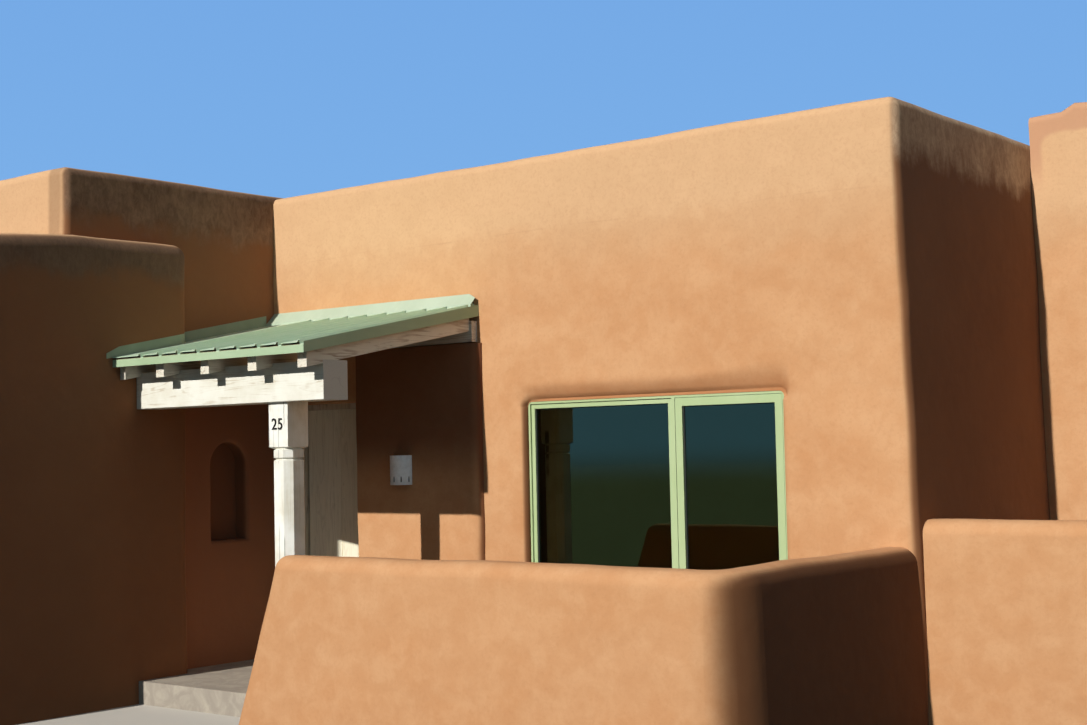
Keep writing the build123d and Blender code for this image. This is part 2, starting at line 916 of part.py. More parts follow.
# Half-round wall lamp, open at the top, with slots near the bottom.
x_lamp = x_main + lamp_place
with BuildPart() as lamp:
    with BuildSketch(Plane((x_lamp, y_facing, lamp_bottom))):
        Circle(lamp_radius)
        Rectangle(
            2 * lamp_radius, lamp_radius, align=(Align.CENTER, Align.MIN), mode=Mode.SUBTRACT
        )
    extrude(amount=lamp_height)
    with BuildSketch(Plane((x_lamp, y_facing, lamp_bottom + lamp_shell))):
        Circle(lamp_radius - lamp_shell)
        with Locations((0, -lamp_shell)):
            Rectangle(
                2 * lamp_radius, lamp_radius, align=(Align.CENTER, Align.MIN), mode=Mode.SUBTRACT
            )
    extrude(amount=lamp_height, mode=Mode.SUBTRACT)
    with BuildSketch(Plane((x_lamp, y_facing, lamp_bottom + lamp_slot_bottom))):
        for i in range(lamp_slots):
            turn = 180 + 180 * (i + 0.5) / lamp_slots
            with Locations(Location((0, 0), turn)):
                with Locations((lamp_radius, 0)):
                    Rectangle(4 * lamp_shell, lamp_slot_width)
    extrude(amount=lamp_slot_height, mode=Mode.SUBTRACT)
save(lamp.part, "lamp")


# The low yard wall comes out from the main corner, bends and ends in front of the porch.
def low_wall_profile(height, plane):
    """The battered, round-topped section of a low wall, centred on the plane's origin."""
    half = low_wall_top / 2
    with BuildSketch(plane) as section:
        with BuildLine():
            Polyline(
                (-half - low_wall_batter, 0),
                (half + low_wall_batter, 0),
                (half, height),
                (-half, height),
                close=True,
            )
        make_face()
        fillet(section.vertices().group_by(Axis.Y)[-1], low_wall_round)
    return section.sketch


x_yard = x_corner + corner_batter - low_wall_batter - low_wall_top / 2
y_yard = y_main - yard_projection + low_wall_top / 2
bend_radius = yard_bend + low_wall_top / 2
x_bend = x_yard - bend_radius
y_bend = y_yard + bend_radius
x_yard_end = x_main + yard_end_place

with BuildPart() as yard_wall_side:
    side_section = low_wall_profile(
        yard_wall_height, Plane((x_yard, y_bend, 0), x_dir=(-1, 0, 0), z_dir=(0, 1, 0))
    )
    extrude(side_section, amount=y_main + yard_overrun - y_bend)
    add(front_wall.part, mode=Mode.SUBTRACT)
save(yard_wall_side.part, "yard_wall_side")

with BuildPart() as yard_wall_front:
    front_section = low_wall_profile(
        yard_wall_height,
        Plane((x_yard_end - yard_end_slope, y_yard, 0), x_dir=(0, 1, 0), z_dir=(1, 0, 0)),
    )
    extrude(front_section, amount=x_bend - x_yard_end + yard_end_slope)
    with BuildSketch(Plane.XZ.offset(-y_yard)):
        with BuildLine():
            Polyline(
                (x_yard_end - yard_end_slope, 0),
                (x_yard_end, yard_wall_height),
                (x_yard_end, 2 * yard_wall_height),
                (x_yard_end - 2 * yard_end_slope, 2 * yard_wall_height),
                (x_yard_end - 2 * yard_end_slope, 0),
                close=True,
            )
        make_face()
    extrude(amount=low_wall_top, both=True, mode=Mode.SUBTRACT)
    end_face = yard_wall_front.faces().sort_by(Axis.X)[0]
    fillet([e for e in end_face.edges() if e.center().Z > 1], yard_end_radius)
    bend_section = low_wall_profile(
        yard_wall_height, Plane((x_bend, y_yard, 0), x_dir=(0, 1, 0), z_dir=(1, 0, 0))
    )
    revolve(bend_section, axis=Axis((x_bend, y_bend, 0), (0, 0, 1)), revolution_arc=90)
save(yard_wall_front.part, "yard_wall_front")

# The garden wall runs on from the main block's right side.
y_garden = y_main + garden_setback + low_wall_top / 2
with BuildPart() as garden_wall:
    garden_section = low_wall_profile(
        garden_wall_height, Plane((x_corner, y_garden, 0), x_dir=(0, 1, 0), z_dir=(1, 0, 0))
    )
    extrude(garden_section, amount=garden_wall_length)
    add(front_wall.part, mode=Mode.SUBTRACT)
    add(side_wall.part, mode=Mode.SUBTRACT)
save(garden_wall.part, "garden_wall")
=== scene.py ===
# %% [markdown]
# An adobe house in evening light. The walls are sun-dried brick under lime and earth plaster,
# so nothing about them is quite straight: corners roll over, faces wave a little and the
# colour drifts from peach at the parapet to burnt orange near the ground. The solid model
# already holds every wall, timber and pane at its real size, so this lesson dresses those
# solids, and adds the small pieces a solid modeller would leave out.

# %% Load the solid model
import json
import math

import bmesh
import bpy
from mathutils import Matrix, Vector, noise


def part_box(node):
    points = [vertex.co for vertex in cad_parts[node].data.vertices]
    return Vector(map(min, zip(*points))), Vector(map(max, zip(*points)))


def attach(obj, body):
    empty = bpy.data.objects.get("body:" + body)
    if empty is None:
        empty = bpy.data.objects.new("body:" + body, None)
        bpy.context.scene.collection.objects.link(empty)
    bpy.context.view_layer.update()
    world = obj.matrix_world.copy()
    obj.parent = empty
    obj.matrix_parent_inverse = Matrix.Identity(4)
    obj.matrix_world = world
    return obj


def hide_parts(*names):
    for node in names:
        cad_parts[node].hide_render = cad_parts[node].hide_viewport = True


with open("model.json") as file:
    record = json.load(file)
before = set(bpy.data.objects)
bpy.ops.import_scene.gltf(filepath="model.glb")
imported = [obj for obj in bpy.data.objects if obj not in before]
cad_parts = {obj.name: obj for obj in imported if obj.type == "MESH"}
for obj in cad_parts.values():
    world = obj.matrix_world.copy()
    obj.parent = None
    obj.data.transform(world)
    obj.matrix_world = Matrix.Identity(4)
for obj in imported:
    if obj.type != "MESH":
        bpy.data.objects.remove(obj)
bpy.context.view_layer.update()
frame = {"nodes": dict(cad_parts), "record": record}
nodes = frame["nodes"]

# %% [markdown]
# The camera stands where the photographer stood, at eye height in front of the right-hand
# corner. Its direction comes from three angles: how far it is turned to the left of straight
# ahead, how far it is tipped up, and how far it leans. A 53 mm lens gives the same spread of
# view as the photograph, with no shift.

# %% Camera
def add_object(name, data):
    """Makes an object from its data and puts it in the scene."""
    made = bpy.data.objects.new(name, data)
    bpy.context.collection.objects.link(made)
    return made


# The focal length is 1600 pixels in a picture that is 1087 pixels wide.
sensor_width = 36
focal_pixels, picture_pixels = 1600, 1087
standpoint = (7.6, -10.85, 1.92)
turn_left, tip_up, lean = math.radians(38.5), math.radians(3.18), math.radians(1.21)

camera_data = bpy.data.cameras.new("camera")
camera_data.sensor_width = sensor_width
camera_data.lens = sensor_width * focal_pixels / picture_pixels
camera_data.clip_end = 600
camera = add_object("camera", camera_data)
bpy.context.scene.camera = camera
camera.matrix_world = (
    Matrix.Translation(standpoint)
    @ Matrix.Rotation(turn_left, 4, "Z")
    @ Matrix.Rotation(math.pi / 2 + tip_up, 4, "X")
    @ Matrix.Rotation(-lean, 4, "Z")
)
print("camera at", tuple(camera.location))

# %% [markdown]
# Materials are node trees. Writing them as sums is easier to read than wiring nodes one by
# one, so a small class wraps a socket and lets plus, minus and times build the Math nodes.

# %% Shader helpers
class Value:
    """A number that varies over the surface, held as a socket of a node tree."""

    def __init__(self, shader, socket):
        self.shader, self.socket = shader, socket

    def __add__(self, other):
        return self.shader.calculate("ADD", self, other)

    def __sub__(self, other):
        return self.shader.calculate("SUBTRACT", self, other)

    def __mul__(self, other):
        return self.shader.calculate("MULTIPLY", self, other)

    def __truediv__(self, other):
        return self.shader.calculate("DIVIDE", self, other)

    def __radd__(self, other):
        return self.shader.calculate("ADD", other, self)

    def __rsub__(self, other):
        return self.shader.calculate("SUBTRACT", other, self)

    def __rmul__(self, other):
        return self.shader.calculate("MULTIPLY", other, self)

    def __abs__(self):
        return self.shader.calculate("ABSOLUTE", self)

    def __mod__(self, other):
        return self.shader.calculate("FLOORED_MODULO", self, other)


class Shader:
    """A material's node tree, with one method that makes any node."""

    def __init__(self, name, **fixed):
        self.material = bpy.data.materials.new(name)
        self.material.use_nodes = True
        self.tree = self.material.node_tree
        self.surface = self.tree.nodes["Principled BSDF"]
        for socket, value in fixed.items():
            self.surface.inputs[socket.replace("_", " ")].default_value = value
        self.place = self.node("ShaderNodeTexCoord", {}, {}, "Object")

    def node(self, kind, settings, inputs, output=0):
        made = self.tree.nodes.new(kind)
        for key, value in settings.items():
            setattr(made, key, value)
        for socket, value in inputs.items():
            if isinstance(value, Value):
                self.tree.links.new(value.socket, made.inputs[socket])
            else:
                made.inputs[socket].default_value = value
        return Value(self, made.outputs[output])

    def calculate(self, operation, *numbers):
        return self.node("ShaderNodeMath", {"operation": operation}, dict(enumerate(numbers)))

    def set(self, socket, value):
        self.tree.links.new(value.socket, self.surface.inputs[socket])

    def noise(self, scale, detail=4, roughness=0.55, stretch=(1, 1, 1), shift=(0, 0, 0), warp=0):
        mapped = self.node(
            "ShaderNodeMapping",
            {},
            {"Vector": self.place, "Scale": stretch, "Location": shift},
        )
        return self.node(
            "ShaderNodeTexNoise",
            {},
            {
                "Vector": mapped,
                "Scale": scale,
                "Detail": detail,
                "Roughness": roughness,
                "Distortion": warp,
            },
        )

    def fade(self, value, low, high):
        """Goes smoothly from 0 at low to 1 at high, or the other way round if low is higher."""
        return self.node(
            "ShaderNodeMapRange",
            {"interpolation_type": "SMOOTHSTEP"},
            {"Value": value, "From Min": low, "From Max": high},
        )

    def mix(self, factor, a, b):
        """Mixes two colours. Sockets 6 and 7 and output 2 are the node's colour ones."""
        return self.node("ShaderNodeMix", {"data_type": "RGBA"}, {0: factor, 6: a, 7: b}, 2)

    def axis(self, letter):
        return self.node("ShaderNodeSeparateXYZ", {}, {"Vector": self.place}, letter)

    def facing(self, letter):
        """How far the surface faces along an axis, from -1 to 1."""
        normal = self.node("ShaderNodeNewGeometry", {}, {}, "Normal")
        return self.node("ShaderNodeSeparateXYZ", {}, {"Vector": normal}, letter)

    def bump(self, height, strength, distance):
        made = self.node(
            "ShaderNodeBump", {}, {"Height": height, "Strength": strength, "Distance": distance}
        )
        self.set("Normal", made)


def colour(hexa):
    """A colour as the eye reads it, turned into the linear values that shaders use."""
    parts = [int(hexa[i : i + 2], 16) / 255 for i in (0, 2, 4)]
    return tuple(p / 12.92 if p <= 0.04045 else ((p + 0.055) / 1.055) ** 2.4 for p in parts)


def rgba(hexa):
    return (*colour(hexa), 1)


def dress(shader, *names):
    """Gives solids of the model one material, in place of the plain one they came with."""
    for name in names:
        slots = nodes[name].data.materials
        slots.clear()
        slots.append(shader.material)


# %% [markdown]
# Adobe plaster is one coat of coloured mud over all the walls, floated on by hand. Its colour
# comes from height more than anything: rain and sun have bleached the parapets, and the foot
# keeps the red of the earth. Over that lie broad clouds from how each batch dried, and a fine,
# low mottle from the float. Where one day's work stopped, a faint line runs along the wall.
# Sides that face right are painted dark brown, as painted shade, and the grey, streaky band under
# the parapet where the rain runs is drawn on them in painted-shade tones. Walls under the porch
# roof carry painted shade too, and the niche and the plaster over the window's head are painted
# darker as painted shade.

# %% Plaster
# The window's middle along the front wall and the height of its head, and the place along the
# right wing where its cap turns down at the left end.
window_middle, window_head = 0.95, 2.306
cap_turns_down = 3.05


def plaster(
    name,
    top,
    wash=0.45,
    cap=0.0,
    joint=3.63,
    painted_shade_zone=None,
    painted_shade_colour="6E432B",
    brow=None,
    painted_shade_browns=("6A4128", "865A3B"),
    wash_band_in_shade=("A5866A", "D9BC9B"),
):
    """Plaster for walls of one height. The washed band and the cap hang down from the top."""
    mud = Shader(name, Roughness=0.95, Specular_IOR_Level=0.12)
    height = mud.axis("Z")
    clouds = mud.noise(0.55, 3, 0.5)
    drying = mud.noise(1.7, 4, 0.55, stretch=(1, 1, 1.5), shift=(3, 7, 1))
    mottle = mud.noise(7, 4, 0.6, shift=(1.3, 4.6, 8.2), warp=0.3)
    sand = mud.noise(43, 3, 0.6, shift=(3.1, 7.4, 1.7), warp=0.5)
    blots = mud.noise(1.7, 6, 0.62, shift=(2, 5, 0.3))

    rise = height + (clouds - 0.5) * 1.4
    shade = mud.mix(mud.fade(rise, 0.1, 2.2), rgba("B98961"), rgba("C5956B"))
    shade = mud.mix(mud.fade(drying, 0.35, 0.75) * 0.6, shade, rgba("B98459"))
    shade = mud.mix(mud.fade(drying, 0.5, 0.2) * 0.35, shade, rgba("CFA077"))
    line = height + (mud.noise(0.6, 2, 0.4) - 0.5) * 0.12 - joint
    shade = mud.mix(mud.fade(abs(line + 0.12), 0.3, 0.0) * 0.25, shade, rgba("B4845A"))
    bleached = mud.fade(line + (drying - 0.5) * 0.9, -0.5, 0.1)
    shade = mud.mix(bleached * 0.6, shade, rgba("CAA57F"))
    upper_coat = mud.fade(line + (mottle - 0.5) * 0.3, -0.1, 0.12)
    shade = mud.mix(upper_coat * 0.4, shade, rgba("CFAA83"))
    shade = mud.mix(mud.fade(mottle, 0.35, 0.7) * 0.22, shade, rgba("D6AE86"))
    shade = mud.mix(mud.fade(sand, 0.42, 0.8) * 0.2, shade, rgba("A57450"))
    day_joint = mud.fade(abs(line), 0.009, 0.0) * mud.fade(mud.noise(1.6, 2), 0.42, 0.62)
    shade = mud.mix(day_joint * 0.1, shade, rgba("8E6040"))

    below = top - height
    if cap:
        across = cap_turns_down - mud.axis("X") + (mottle - 0.5) * 0.05
        down = cap - below + (mottle - 0.5) * 0.05
        inner = mud.calculate("SMOOTH_MAX", across, down, 0.2)
        near_top = mud.fade(below, 0.7, 0.3)
        shade = mud.mix(mud.fade(inner, -0.01, 0.03) * near_top * 0.75, shade, rgba("B98A6C"))
    # Painted shade: sides that face right get darker browns in their colour, standing in for the
    # shade they lie in.
    painted_shade_side = mud.fade(mud.facing("X"), 0.35, 0.85)
    shade = mud.mix(painted_shade_side * 0.92, shade, mud.mix(clouds, rgba(painted_shade_browns[0]), rgba(painted_shade_browns[1])))
    # The rain-washed band under the parapet is real, but it is drawn only on the right-facing
    # sides, in tones darkened as painted shade.
    if wash:
        drips = mud.noise(11, 4, 0.6, stretch=(1, 1, 0.2), warp=0.5)
        reach = wash + (blots - 0.5) * wash * 1.6 + (drips - 0.5) * wash * 0.35
        scratches = mud.noise(21, 6, 0.8, stretch=(1, 1, 0.5), warp=0.8)
        band = mud.fade(below - reach, 0.07, -0.12)
        worn = mud.fade(scratches, 0.34, 0.66) * 0.45 + mud.fade(blots, 0.4, 0.6) * 0.25
        pale = mud.mix(worn * 1.3, rgba(wash_band_in_shade[0]), rgba(wash_band_in_shade[1]))
        shade = mud.mix(band * painted_shade_side * 0.9, shade, pale)
    # Painted shade: walls under the porch roof are darkened, and the niche darker still.
    if painted_shade_zone:
        porch_painted_shade, niche_painted_shade = painted_shade_zone(mud)
        shade = mud.mix(porch_painted_shade * 0.8, shade, rgba(painted_shade_colour))
        shade = mud.mix(niche_painted_shade * 0.35, shade, rgba("3B2316"))
    # Painted shade: the plaster just over the window's head, under the roll, is painted darker.
    if brow:
        high, low = brow
        over_head = mud.fade(height + (blots - 0.5) * 0.08, high, low)
        over_head = over_head * mud.fade(height, low - 0.03, low)
        beside = abs(mud.axis("X") - window_middle) + (mottle - 0.5) * 0.06
        front = mud.fade(mud.facing("Y"), -0.3, -0.6)
        brow_painted_shade = over_head * mud.fade(beside, 1.22, 1.06) * front
        shade = mud.mix(brow_painted_shade * 0.6, shade, rgba("A2663D"))
    mud.set("Base Color", shade)

    swell = mud.noise(1.6, 3, 0.5)
    dabs = mud.noise(9, 3, 0.5)
    grain = mud.noise(120, 4, 0.7)
    mud.bump(swell * 1.2 + dabs * 0.2 + grain * 0.05, 0.55, 0.03)
    return mud


def painted_eave_shade(mud):
    """Painted shade on the entry wall, above the line that the low sun reaches."""
    height = mud.axis("Z")
    return mud.fade(height, 1.62, 2.1) * mud.fade(height, 3.1, 2.9), 0.0


def painted_porch_shade(mud):
    """Painted shade on the wing's side wall below the porch roof, and darker painted shade inside
    the niche.
    """
    across = mud.axis("X")
    this_wall = mud.fade(across, -3.6, -3.4) * mud.fade(mud.axis("Y"), -3.4, -3.0)
    niche_shade_mask = mud.fade(across, -3.1, -3.15) * mud.fade(across, -3.3, -3.25)
    return mud.fade(mud.axis("Z"), 2.95, 2.6) * this_wall, niche_shade_mask


wall_top = {"main": 4.22, "left": 4.245, "store": 3.66, "right": 4.46, "yard": 1.255}
main_plaster = plaster("main plaster", wall_top["main"], wash=0.42, brow=(2.5, 2.3))
entry_plaster = plaster("entry plaster", wall_top["main"], wash=0, painted_shade_zone=painted_eave_shade)
left_plaster = plaster(
    "left wing plaster",
    wall_top["left"],
    wash=0.42,
    painted_shade_zone=painted_porch_shade,
    painted_shade_colour="935F43",
    painted_shade_browns=("7C5034", "865A3B"),
    wash_band_in_shade=("654C3B", "98785F"),
)
store_plaster = plaster(
    "store plaster", wall_top["store"], wash=0.3, wash_band_in_shade=("66503F", "80644E")
)
right_plaster = plaster("right wing plaster", wall_top["right"], wash=0.2, cap=0.2, joint=3.66)
yard_plaster = plaster("yard wall plaster", wall_top["yard"], wash=0, painted_shade_browns=("4A2A15", "5F3B21"))

plastered = {
    "main": (main_plaster, ["front_wall", "door_header", "side_wall", "back_wall"]),
    "entry": (entry_plaster, ["entry_facing"]),
    "left_wing": (
        left_plaster,
        ["left_front_wall", "left_side_wall", "niche_surround", "left_outer_wall"],
    ),
    "store": (
        store_plaster,
        ["store_front_wall", "store_side_wall", "store_left_wall", "store_buttress"],
    ),
    "right_wing": (
        right_plaster,
        ["right_front_wall", "right_outer_wall", "right_back_wall", "wing_upstand"],
    ),
    "low": (yard_plaster, ["yard_wall_front", "yard_wall_side", "garden_wall"]),
}

# %% [markdown]
# No adobe wall is flat, and no parapet is level. The solids are, so each group of walls gets
# a worked copy: the copy is cut by one grid of planes that all walls share, and every corner of
# it moves a little by one noise that fills the whole space. Because the noise depends on place
# alone, walls that touch move together and stay closed. Near windows, doors, roofs and floors
# the noise fades out, so everything that is seated in a wall still fits. The noise takes its
# offsets from a seed, so each run gives the same walls.

# %% Hand-worked walls
noise.seed_set(7)
seats = [
    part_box(name)
    for name in (
        "window_frame", "door_frame", "door_threshold", "lamp", "metal_roof", "wall_flashing",
        "side_flashing", "porch_ledger", "porch_beam", "porch_floor", "left_floor",
        "main_floor", "right_floor", "left_roof", "main_roof", "right_roof", "store_roof",
    )
]


def smooth(value, low, high):
    t = min(max((value - low) / (high - low), 0), 1)
    return t * t * (3 - 2 * t)


def distance_to(box, place):
    low, high = box
    return math.dist(place, [min(max(p, a), b) for p, a, b in zip(place, low, high)])


def hand_wave(place):
    """How far the plaster of this place lies from where a string line would put it."""
    broad = noise.noise_vector(place * 0.8 + Vector((3.1, 7.7, 1.9))) * 0.013
    dab = noise.noise_vector(place * 2.6) * 0.007
    calm = min(smooth(distance_to(seat, place), 0.02, 0.35) for seat in seats)
    moved = (broad + dab) * calm
    moved.z *= smooth(place.z, 0.0, 0.4)
    return moved


def window_brow(place):
    """The plaster rolls inwards over the window's head, and more so at the right corner."""
    if place.y > -1.2 or place.z < window_head - 0.04:
        return 0.0
    depth = 0.14 + 0.07 * smooth(place.x, 1.2, 2.0)
    roll = 1 - smooth(place.z, window_head - 0.02, window_head + depth)
    ends = smooth(place.x, -0.34, -0.12) * (1 - smooth(place.x, 2.03, 2.12))
    return min(0.05 * roll * ends, max(-1.194 - place.y, 0))


# Where the crest of a wall meets the rolled inner edge of the wall across its end, the solids
# leave a small nick. The plaster runs on over it: (axis, which way) of each such end.
SOUTH, NORTH, WEST = (1, -1), (1, 1), (0, -1)
runs_on = {
    "left_side_wall": [SOUTH],
    "left_outer_wall": [SOUTH, NORTH],
    "side_wall": [SOUTH],
    "right_outer_wall": [SOUTH, NORTH],
    "wing_upstand": [SOUTH, NORTH],
    "store_side_wall": [SOUTH],
    "store_left_wall": [SOUTH],
    "door_header": [WEST],
}


def run_on(bm, wall, reach=0.14, crest=0.135):
    """Moves the top of a wall's end outwards, by less than the wall it runs into is thick."""
    low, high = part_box(wall)
    middle = (low + high) / 2
    for axis, way in runs_on.get(wall, []):
        end = (low if way < 0 else high)[axis]
        across = 1 - axis
        for vert in bm.verts:
            if abs(vert.co[axis] - end) < 0.001 and vert.co.z > high.z - crest:
                vert.co[axis] += way * reach
                vert.co[across] += math.copysign(0.0015, middle[across] - vert.co[across])
                vert.co.z -= 0.001


# The roll over the window's head, and the two ends where it fades out, need finer cuts.
head_cuts = [(2, 2.312 + 0.02 * k) for k in range(12)]
end_cuts = [(0, 1.9 + 0.03 * k) for k in range(8)] + [(0, -0.34), (0, -0.28), (0, -0.22)]


def worked_copy(name, shader, walls, step=0.14):
    """One piece made of the cut and moved copies of several walls, in place of those walls."""
    mesh = bpy.data.meshes.new(name)
    whole = bmesh.new()
    for wall in walls:
        bm = bmesh.new()
        bm.from_mesh(nodes[wall].data)
        bmesh.ops.remove_doubles(bm, verts=bm.verts, dist=0.00005)
        bmesh.ops.dissolve_limit(
            bm, angle_limit=math.radians(0.3), verts=bm.verts, edges=bm.edges
        )
        low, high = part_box(wall)
        cuts = [
            (axis, step * k)
            for axis in range(3)
            for k in range(math.ceil(low[axis] / step), math.ceil(high[axis] / step))
        ]
        if name == "main_walls":
            cuts += head_cuts
        if wall == "front_wall":
            cuts += end_cuts
        for axis, where in cuts:
            across, facing = Vector(), Vector()
            across[axis], facing[axis] = where, 1
            bmesh.ops.bisect_plane(
                bm,
                geom=bm.verts[:] + bm.edges[:] + bm.faces[:],
                dist=0.0005,
                plane_co=across,
                plane_no=facing,
            )
        run_on(bm, wall)
        for vert in bm.verts:
            brow = window_brow(vert.co) if wall == "front_wall" else 0
            vert.co += hand_wave(vert.co)
            vert.co.y += brow
        bm.normal_update()
        for face in bm.faces:
            face.smooth = True
        for edge in bm.edges:
            edge.smooth = edge.is_manifold and edge.calc_face_angle(0) < math.radians(32)
        bm.to_mesh(mesh)
        bm.free()
        whole.from_mesh(mesh)
    whole.to_mesh(mesh)
    whole.free()
    piece = add_object(name, mesh)
    mesh.materials.append(shader.material)
    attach(piece, "house")
    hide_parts(*walls)
    return piece


for group, (shader, walls) in plastered.items():
    walls_piece = worked_copy(group + "_walls", shader, walls)
    print(group, "walls:", len(walls_piece.data.polygons), "faces")

# %% [markdown]
# The porch timbers are rough-sawn pine under a thin whitewash. Grain runs along each piece,
# so every noise is stretched along one axis. The wash wears off on the hard summer rings, and
# drying opens thin dark cracks, which lie along the grain as well. Sawn ends show the rings
# themselves, round a pith that lies off centre.

# %% Whitewashed timber
ALONG = {"X": (0.07, 1, 1), "Y": (1, 0.07, 1), "Z": (1, 1, 0.07)}


def whitewashed(name, along, wash, wood, wear=0.5, cracks=0.5, pith=None, check=None):
    """Washed timber. The pith is a place (y, z), and a check is one long crack on the front."""
    timber = Shader(name, Roughness=0.8)
    stretch = ALONG[along]
    rings = timber.noise(8, 3, 0.5, stretch=stretch, warp=1.0)
    hard_rings = timber.fade(abs((rings * 8) % 1 - 0.5), 0.2, 0.03)
    fibres = timber.noise(90, 4, 0.65, stretch=stretch)
    patches = timber.noise(3.5, 4, 0.6)
    worn = hard_rings * timber.fade(patches, 0.3, 0.7)
    shade = timber.mix(timber.fade(patches, 0.3, 0.7), rgba(wash), rgba("D6D2C2"))
    shade = timber.mix(worn * wear, shade, rgba(wood))
    shade = timber.mix(timber.fade(fibres, 0.55, 0.75) * 0.35 * wear, shade, rgba(wood))
    split = timber.noise(7, 2, 0.4, stretch=[s * s if s < 1 else s for s in stretch], warp=0.2)
    place = timber.fade(timber.noise(1.9, 2, shift=(5, 2, 9)), 0.5, 0.56)
    crack = timber.fade(abs(split - 0.5), 0.006, 0.002) * place * cracks
    if check:
        wander = (timber.noise(9, 3, 0.6, stretch=(0, 0, 1)) - 0.5) * 0.05
        beside = abs(timber.axis("X") - check["x"] - wander)
        span = timber.fade(timber.axis("Z"), check["z"], check["z"] + 0.03)
        front = timber.fade(timber.facing("Y"), -0.7, -0.9)
        long_crack = timber.fade(beside, 0.0032, 0.0008) * span * front
        crack = timber.calculate("MAXIMUM", crack, long_crack)
    if pith:
        end_grain = timber.fade(abs(timber.facing(along)), 0.7, 0.9)
        up, side = timber.axis("Z") - pith[1], timber.axis("Y") - pith[0]
        radius = timber.calculate("SQRT", up * up + side * side) + (fibres - 0.5) * 0.004
        sawn = timber.fade(abs((radius * 110) % 1 - 0.5), 0.45, 0.1)
        grey = timber.mix(sawn * 0.4, rgba("C6C6BF"), rgba("9A9284"))
        shade = timber.mix(end_grain, shade, grey)
    shade = timber.mix(crack, shade, rgba("3B3026"))
    timber.set("Base Color", shade)
    timber.set("Roughness", 0.72 + fibres * 0.2)
    timber.bump(fibres * 0.4 - worn * 0.25 - crack * 2.5, 0.5, 0.004)
    return timber


beam_timber = whitewashed("beam timber", "X", "E4E3D8", "A8926F", wear=0.6, pith=(-2.83, 2.41))
post_timber = whitewashed(
    "post timber", "Z", "EDECE4", "BDAE93", wear=0.3, cracks=0.8, check={"x": -1.185, "z": 2.13}
)
rafter_timber = whitewashed("rafter timber", "Y", "DED6C4", "8C6F4D", wear=0.7)
ledger_timber = whitewashed("ledger timber", "X", "B9B2A4", "8C6F4D", wear=0.8)
dress(beam_timber, "porch_beam")
dress(post_timber, "porch_post")
dress(rafter_timber, "porch_rafters")
dress(ledger_timber, "porch_ledger", "door_threshold")

# %% [markdown]
# The plank door wears an older and thinner coat of the same wash, over olive-grey boards. Each
# plank was cut from a different tree, so each has its own tone: the plank's number is found
# from its place across the leaf, and shifts the colour. The leaf hangs ajar, so across is an
# axis turned by the same angle.

# %% Door leaf
leaf_ajar = math.radians(25)
pin = frame["record"]["behaviour"]["joints"][0]["pos_m"]
leaf_width, plank_count = 0.914, 6
plank_width = leaf_width / plank_count


def door_wash():
    timber = Shader("door timber", Roughness=0.7)
    shift_x = timber.axis("X") - pin[0]
    shift_y = timber.axis("Y") - pin[1]
    across = shift_x * math.cos(leaf_ajar) + shift_y * math.sin(leaf_ajar)
    plank = timber.calculate("FLOOR", across / plank_width)
    tone = timber.node("ShaderNodeTexWhiteNoise", {"noise_dimensions": "1D"}, {"W": plank})
    fibres = timber.noise(60, 4, 0.65, stretch=(1, 1, 0.05))
    rings = timber.noise(9, 3, 0.5, stretch=(1, 1, 0.08), warp=1.2)
    lines = timber.fade(abs((rings * 8) % 1 - 0.5), 0.14, 0.02)
    shade = timber.mix(tone * 0.6, rgba("F6F0D8"), rgba("EAE0C4"))
    shade = timber.mix(timber.fade(fibres, 0.5, 0.75) * 0.3, shade, rgba("B3AC8A"))
    shade = timber.mix(lines * 0.2, shade, rgba("A89C78"))
    splash = timber.fade(timber.axis("Z") + (fibres - 0.5) * 0.2, 0.55, 0.25)
    shade = timber.mix(splash * 0.25, shade, rgba("A88C68"))
    timber.set("Base Color", shade)
    timber.bump(fibres * 0.5 - lines * 0.3, 0.5, 0.003)
    return timber


door_frame_timber = whitewashed(
    "door frame timber", "Z", "CFC8B0", "8F7B58", wear=0.6, cracks=0.3
)
dress(door_wash(), "door_leaf")
dress(door_frame_timber, "door_frame")

# %% [markdown]
# The boards over the rafters show only from below. They are 140 mm wide and run along the
# eave, so the joints are thin dark lines at even steps of Y.

# %% Roof boards
board_width = 0.14
boards = Shader("roof boards", Roughness=0.8)
from_middle = abs(boards.axis("Y") % board_width - board_width / 2)
joint = boards.fade(from_middle, 0.0655, 0.0685)
board = boards.calculate("FLOOR", boards.axis("Y") / board_width)
board_tone = boards.node("ShaderNodeTexWhiteNoise", {"noise_dimensions": "1D"}, {"W": board})
board_grain = boards.noise(60, 4, 0.65, stretch=ALONG["X"])
board_shade = boards.mix(board_tone * 0.6, rgba("A58F70"), rgba("8E7758"))
board_shade = boards.mix(boards.fade(board_grain, 0.45, 0.7) * 0.5, board_shade, rgba("6F583D"))
boards.set("Base Color", boards.mix(joint, board_shade, rgba("2C2118")))
boards.bump(board_grain * 0.4 - joint * 2, 0.5, 0.004)
dress(boards, "roof_boards")

# %% [markdown]
# The roofing is steel sheet with a baked enamel in sage green. Enamel is smooth and a little
# glossy when new. Years of sun chalk it, and rain draws dust down the slope in long streaks,
# which is all that the colour needs to stop looking like plastic.

# %% Enamelled metal
def enamel(name, base, chalk, roughness=0.42, streak=(1, 0.05, 0.3)):
    """Painted metal. A small number in streak draws the dust out along that axis."""
    paint = Shader(name, Metallic=0.0, Coat_Weight=0.15, Coat_Roughness=0.3)
    dust = paint.noise(22, 4, 0.6, stretch=streak)
    clouds = paint.noise(2.2, 4, 0.6)
    specks = paint.noise(300, 2, 0.5)
    shade = paint.mix(paint.fade(clouds, 0.35, 0.7) * 0.5, rgba(base), rgba(chalk))
    shade = paint.mix(paint.fade(dust, 0.52, 0.75) * 0.35, shade, rgba(chalk))
    shade = paint.mix(paint.fade(specks, 0.68, 0.75) * 0.3, shade, rgba("6A6250"))
    paint.set("Base Color", shade)
    paint.set("Roughness", roughness + dust * 0.2)
    paint.bump(clouds, 0.25, 0.01)
    return paint


